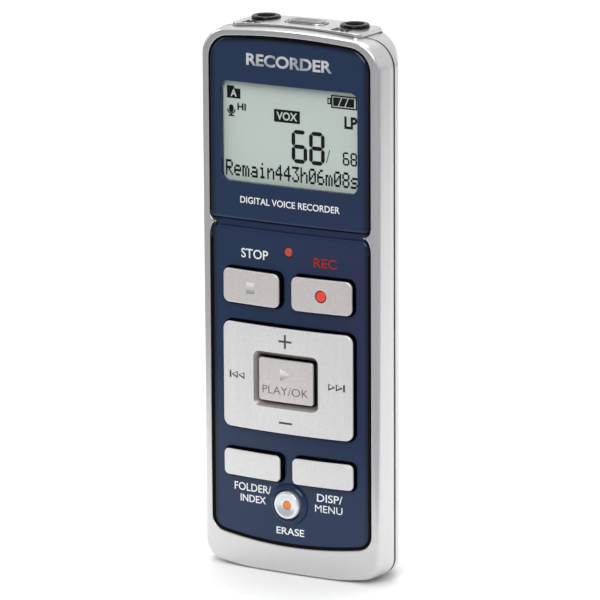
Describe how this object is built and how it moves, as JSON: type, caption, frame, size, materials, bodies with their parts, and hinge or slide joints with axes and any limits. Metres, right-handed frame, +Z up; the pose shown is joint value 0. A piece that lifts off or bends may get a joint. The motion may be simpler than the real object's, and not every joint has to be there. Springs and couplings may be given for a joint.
{
  "type": "handheld voice recorder",
  "caption": "Slim silver handheld voice recorder with a navy face, a display, tilting direction pad, pressing keys, two jacks and a sliding battery cover.",
  "frame": {"origin": "on the ground under the middle of the body, which stands on its lower end", "axes": "+Z up along the body's length, +X to the right as the face is seen, +Y from the face to the back"},
  "size_m": [0.039, 0.0196, 0.102],
  "materials": {
    "silver_body": "silver metallic paint over moulded plastic, satin",
    "navy_face": "deep navy, high gloss, clear over the display",
    "warm_key": "warm grey metallic paint, satin, on a dark moulded key",
    "silver_key": "light silver metallic paint, satin",
    "red_mark": "red moulded plastic",
    "orange_mark": "orange moulded plastic",
    "black_plastic": "black moulded plastic, fine satin",
    "white_plastic": "white moulded plastic",
    "grey_rubber": "silicone rubber",
    "dome_film": "amber film carrying the metal snap domes",
    "board": "glass fibre board with green solder mask",
    "lcd": "grey-green reflective liquid crystal panel",
    "grille_metal": "pressed steel grille",
    "steel": "plated steel",
    "speaker_paper": "black paper cone",
    "magnet": "sintered magnet",
    "cell_wrap": "plain printed sleeve over a steel can"
  },
  "bodies": {
    "root": {"front_frame": "silver_body", "rear_case": "silver_body", "top_plate": "silver_body", "display_lens": "navy_face", "key_panel": "navy_face", "led_lens": "red_mark", "led_chip": "white_plastic", "key_mat": "grey_rubber", "dome_sheet": "dome_film", "main_board": "board", "lcd_panel": "lcd", "lcd_holder": "black_plastic", "lcd_connector": "grey_rubber", "processor_chip": "black_plastic", "memory_chip": "black_plastic", "clock_crystal": "steel", "capacitor": "black_plastic", "mic_jack": "black_plastic", "ear_jack": "black_plastic", "mic_grille": "grille_metal", "mic_capsule": "steel", "mic_boot": "grey_rubber", "usb_socket": "steel", "hold_switch": "steel", "speaker_grille": "silver_body", "speaker_frame": "steel", "speaker_cone": "speaker_paper", "speaker_magnet": "magnet", "cell_left": "cell_wrap", "cell_right": "cell_wrap", "spring_left": "steel", "spring_right": "steel", "contact_low": "steel", "contact_left": "steel", "contact_right": "steel", "case_screw_1": "steel", "case_screw_2": "steel", "case_screw_3": "steel", "case_screw_4": "steel"},
    "stop": {"stop_key": "warm_key"},
    "rec": {"rec_key": "warm_key", "rec_dot": "red_mark"},
    "folder": {"folder_key": "silver_key"},
    "disp": {"disp_key": "silver_key"},
    "erase": {"erase_key": "silver_key", "erase_dot": "orange_mark"},
    "play": {"play_key": "warm_key"},
    "pad_pivot": {"pad_pivot_ring": "grey_rubber"},
    "pad": {"nav_pad": "silver_key"},
    "hold": {"hold_knob": "silver_key"},
    "cover": {"battery_cover": "silver_body"}
  },
  "joints": [
    {"name": "stop_press", "type": "slide", "parent": "root", "child": "stop", "axis": [0, 1, 0], "range_m": [0, 0.00035], "stiffness_N_per_m": 900},
    {"name": "rec_press", "type": "slide", "parent": "root", "child": "rec", "axis": [0, 1, 0], "range_m": [0, 0.00035], "stiffness_N_per_m": 900},
    {"name": "folder_press", "type": "slide", "parent": "root", "child": "folder", "axis": [0, 1, 0], "range_m": [0, 0.00035], "stiffness_N_per_m": 900},
    {"name": "disp_press", "type": "slide", "parent": "root", "child": "disp", "axis": [0, 1, 0], "range_m": [0, 0.00035], "stiffness_N_per_m": 900},
    {"name": "erase_press", "type": "slide", "parent": "root", "child": "erase", "axis": [0, 1, 0], "range_m": [0, 0.00035], "stiffness_N_per_m": 900},
    {"name": "play_press", "type": "slide", "parent": "root", "child": "play", "axis": [0, 1, 0], "range_m": [0, 0.00035], "stiffness_N_per_m": 900},
    {"name": "pad_tilt_up_down", "type": "hinge", "parent": "root", "child": "pad_pivot", "pos_m": [0, -0.00555, 0.0367], "axis": [1, 0, 0], "range_deg": [-1.2, 1.2], "stiffness_Nm_per_rad": 0.4},
    {"name": "pad_tilt_left_right", "type": "hinge", "parent": "pad_pivot", "child": "pad", "pos_m": [0, -0.00555, 0.0367], "axis": [0, 0, 1], "range_deg": [-1.2, 1.2], "stiffness_Nm_per_rad": 0.4},
    {"name": "hold_slide", "type": "slide", "parent": "root", "child": "hold", "axis": [0, 0, 1], "range_m": [-0.003, 0]},
    {"name": "cover_slide", "type": "slide", "parent": "root", "child": "cover", "axis": [0, 0, -1], "range_m": [0, 0.005]}
  ]
}
